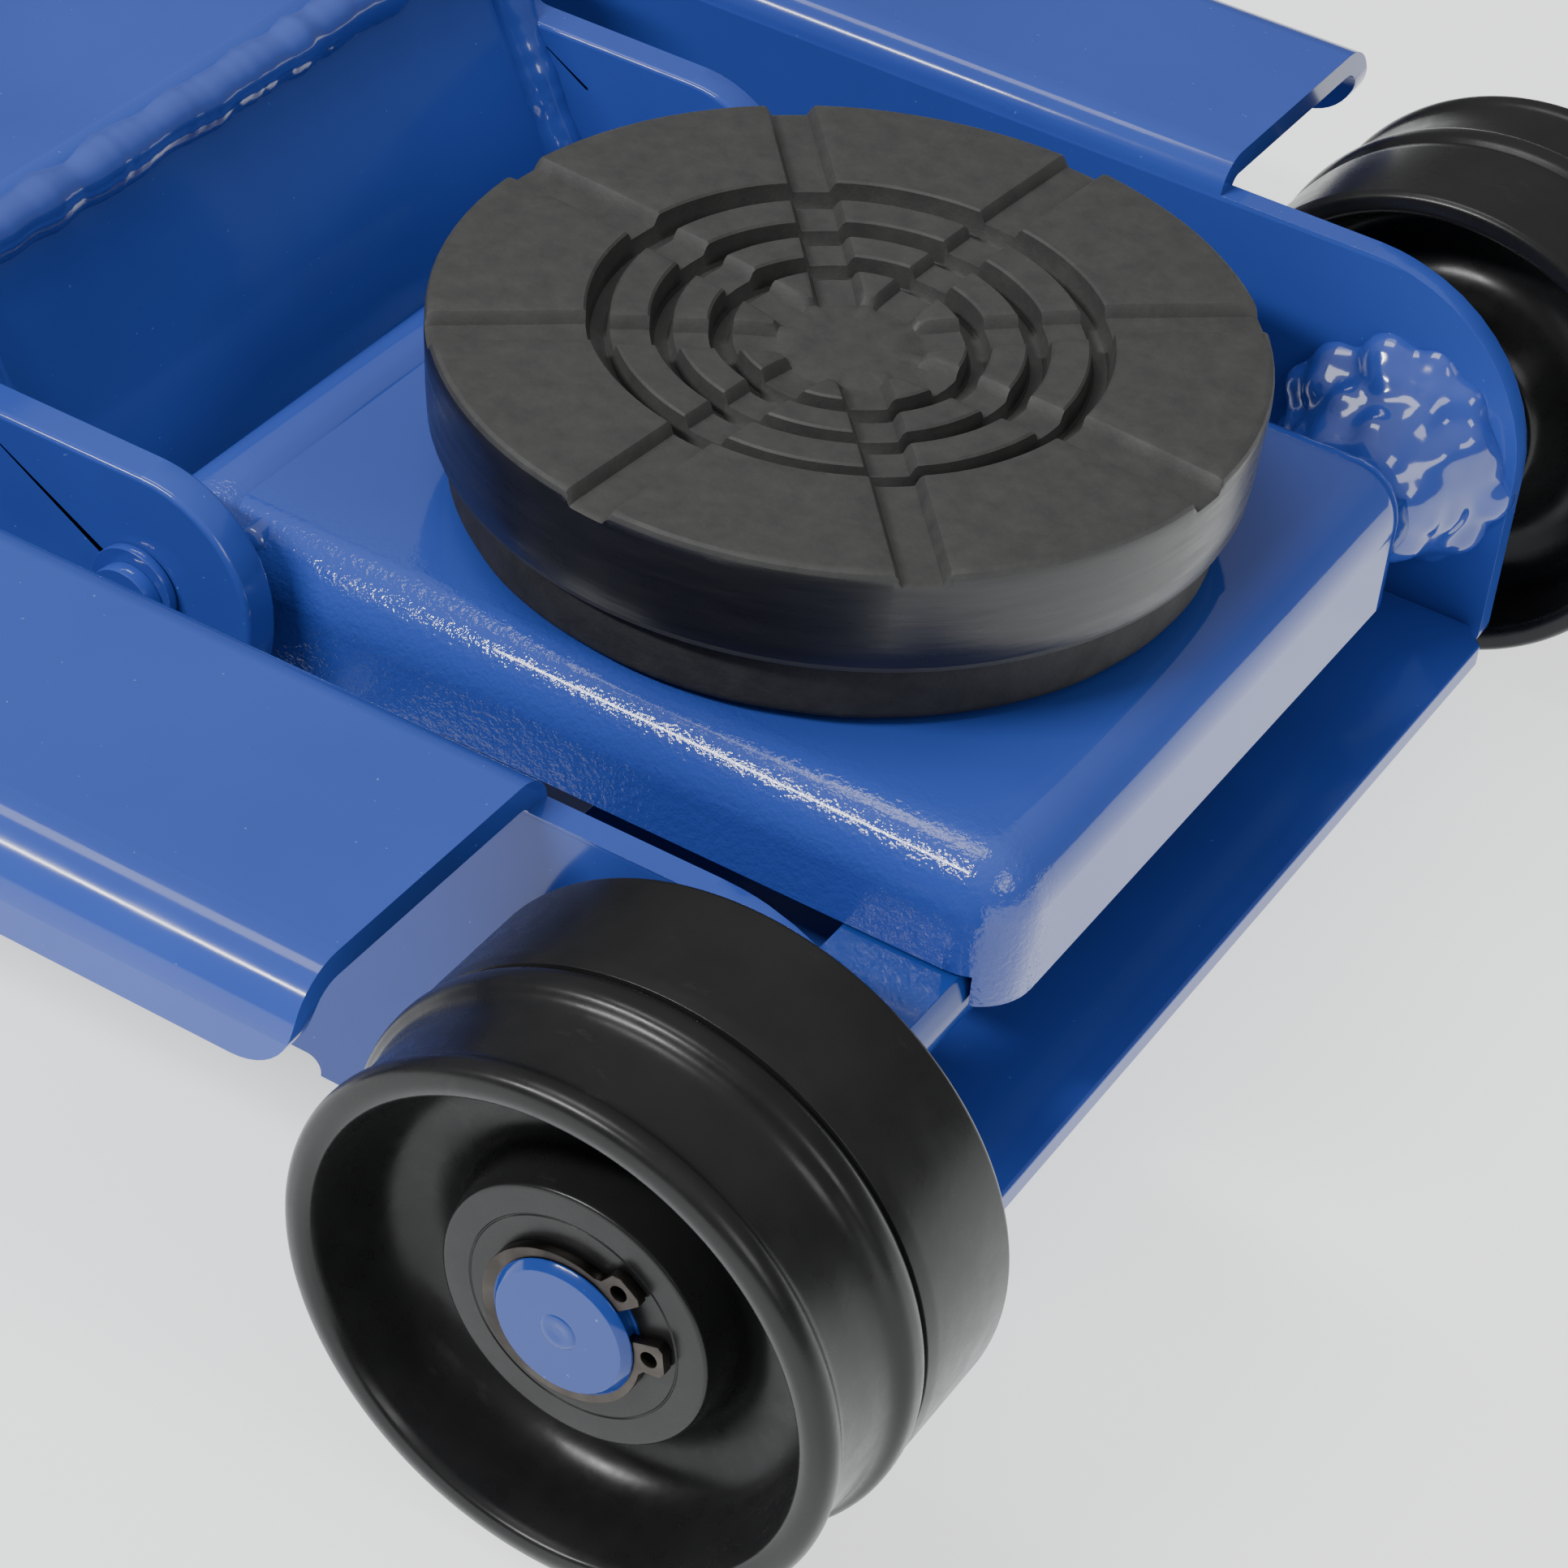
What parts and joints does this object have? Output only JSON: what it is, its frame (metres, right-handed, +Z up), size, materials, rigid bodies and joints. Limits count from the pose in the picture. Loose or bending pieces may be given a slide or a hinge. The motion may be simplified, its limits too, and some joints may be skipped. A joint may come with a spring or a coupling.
{
  "type": "low-profile trolley car jack",
  "caption": "Low-profile hydraulic trolley jack: folded side frames, lifting arm with levelled head and rubber saddle pad, front wheels, rear swivel casters and pump handle.",
  "frame": {"origin": "on the floor, under the middle of the bounding box; the jack is lowered", "axes": "+X forward towards the front wheels, +Y to the left, +Z up"},
  "size_m": [0.7602, 0.29, 0.8844],
  "materials": {
    "blue_paint": "glossy blue enamel",
    "black_nylon": "semi-gloss moulded nylon",
    "black_rubber": "matte moulded rubber",
    "dark_steel": "phosphated spring steel",
    "zinc_steel": "zinc plated",
    "chromed_steel": "ground and chromed",
    "cast_black": "painted black casting"
  },
  "bodies": {
    "frame": {"side_frame_left": "blue_paint", "side_frame_right": "blue_paint", "front_floor_plate": "blue_paint", "front_axle": "blue_paint", "axle_welds": "blue_paint", "wheel_spacers": "zinc_steel", "front_wheel_circlips": "dark_steel", "rear_bracket_left": "blue_paint", "rear_bracket_right": "blue_paint", "bracket_bolts": "zinc_steel", "arm_pivot_shaft": "zinc_steel", "arm_shaft_circlips": "dark_steel", "rear_base_plate": "blue_paint", "pump_block": "cast_black", "ram_cylinder": "cast_black", "cylinder_gland": "zinc_steel", "filler_plug": "black_rubber", "pump_barrel": "cast_black", "pump_spring": "dark_steel", "return_spring_left": "dark_steel", "return_spring_right": "dark_steel", "link_rear_pins": "zinc_steel", "handle_pivot_bolt": "zinc_steel", "caster_races": "zinc_steel", "caster_kingpins": "zinc_steel"},
    "arm": {"arm_cheek_left": "blue_paint", "arm_cheek_right": "blue_paint", "arm_top_plate": "blue_paint", "arm_front_plate": "blue_paint", "arm_pivot_tube": "blue_paint", "ram_roller": "zinc_steel", "ram_roller_pin": "zinc_steel", "head_pivot_pin": "blue_paint", "head_pin_circlips": "blue_paint"},
    "head": {"saddle_head": "blue_paint", "head_pivot_tube": "blue_paint", "link_front_pins": "zinc_steel"},
    "saddle": {"saddle_post": "zinc_steel", "saddle_disc": "black_rubber", "saddle_pad": "black_rubber"},
    "links": {"leveling_links": "blue_paint"},
    "ram": {"ram_rod": "chromed_steel", "ram_crosshead": "cast_black"},
    "plunger": {"pump_plunger": "chromed_steel"},
    "valve": {"release_valve": "zinc_steel"},
    "yoke": {"handle_yoke": "blue_paint", "pump_roller": "zinc_steel"},
    "handle": {"handle_lower_tube": "blue_paint", "handle_upper_tube": "zinc_steel", "handle_clamp_screw": "zinc_steel", "handle_grip": "black_rubber"},
    "front_wheel_left": {"front_wheel_left": "black_nylon"},
    "front_wheel_right": {"front_wheel_right": "black_nylon"},
    "caster_left": {"caster_fork_left": "zinc_steel", "caster_axle_left": "zinc_steel"},
    "caster_right": {"caster_fork_right": "zinc_steel", "caster_axle_right": "zinc_steel"},
    "caster_wheel_left": {"caster_wheel_left": "black_nylon"},
    "caster_wheel_right": {"caster_wheel_right": "black_nylon"}
  },
  "joints": [
    {"name": "arm_lift", "type": "hinge", "parent": "frame", "child": "arm", "pos_m": [-0.1651, 0, 0.115], "axis": [0, -1, 0], "range_deg": [0, 64]},
    {"name": "head_level", "type": "hinge", "parent": "arm", "child": "head", "pos_m": [0.2219, 0, 0.056], "axis": [0, -1, 0], "range_deg": [-65, 1]},
    {"name": "link_swing", "type": "hinge", "parent": "frame", "child": "links", "pos_m": [-0.1451, 0, 0.093], "axis": [0, -1, 0], "range_deg": [-1, 65]},
    {"name": "ram_slide", "type": "slide", "parent": "frame", "child": "ram", "axis": [1, 0, 0], "range_m": [-0.001, 0.07519], "deforming": ["return_spring_left", "return_spring_right"]},
    {"name": "saddle_turn", "type": "hinge", "parent": "head", "child": "saddle", "pos_m": [0.2899, 0, 0.064], "axis": [0, 0, 1], "continuous": true},
    {"name": "handle_pump", "type": "hinge", "parent": "frame", "child": "yoke", "pos_m": [-0.3201, 0, 0.125], "axis": [0, -1, 0], "range_deg": [0, 45]},
    {"name": "plunger_slide", "type": "slide", "parent": "frame", "child": "plunger", "axis": [0, 0, -1], "range_m": [-0.0005, 0.0204], "deforming": ["pump_spring"]},
    {"name": "handle_twist", "type": "hinge", "parent": "yoke", "child": "handle", "pos_m": [-0.31514, 0, 0.19583], "axis": [0.0698, 0, 0.9976], "range_deg": [0, 90]},
    {"name": "valve_turn", "type": "hinge", "parent": "frame", "child": "valve", "pos_m": [-0.3701, 0.024, 0.052], "axis": [1, 0, 0], "range_deg": [-1, 91]},
    {"name": "front_wheel_left_spin", "type": "hinge", "parent": "frame", "child": "front_wheel_left", "pos_m": [0.3394, 0.1225, 0.0407], "axis": [0, 1, 0], "continuous": true},
    {"name": "caster_left_swivel", "type": "hinge", "parent": "frame", "child": "caster_left", "pos_m": [-0.3281, 0.1185, 0.068], "axis": [0, 0, 1], "continuous": true},
    {"name": "caster_wheel_left_spin", "type": "hinge", "parent": "caster_left", "child": "caster_wheel_left", "pos_m": [-0.3501, 0.1185, 0.027], "axis": [0, 1, 0], "continuous": true},
    {"name": "front_wheel_right_spin", "type": "hinge", "parent": "frame", "child": "front_wheel_right", "pos_m": [0.3394, -0.1225, 0.0407], "axis": [0, 1, 0], "continuous": true},
    {"name": "caster_right_swivel", "type": "hinge", "parent": "frame", "child": "caster_right", "pos_m": [-0.3281, -0.1185, 0.068], "axis": [0, 0, 1], "continuous": true},
    {"name": "caster_wheel_right_spin", "type": "hinge", "parent": "caster_right", "child": "caster_wheel_right", "pos_m": [-0.3501, -0.1185, 0.027], "axis": [0, 1, 0], "continuous": true}
  ],
  "couplings": [
    {"joint": "head_level", "follows": "arm_lift", "ratio": -1},
    {"joint": "link_swing", "follows": "arm_lift", "ratio": 1},
    {"joint": "ram_slide", "follows": "arm_lift", "m_per_rad": 0.066417},
    {"joint": "plunger_slide", "follows": "handle_pump", "m_per_rad": 0.025337},
    {"joint": "valve_turn", "follows": "handle_twist", "ratio": 1}
  ]
}
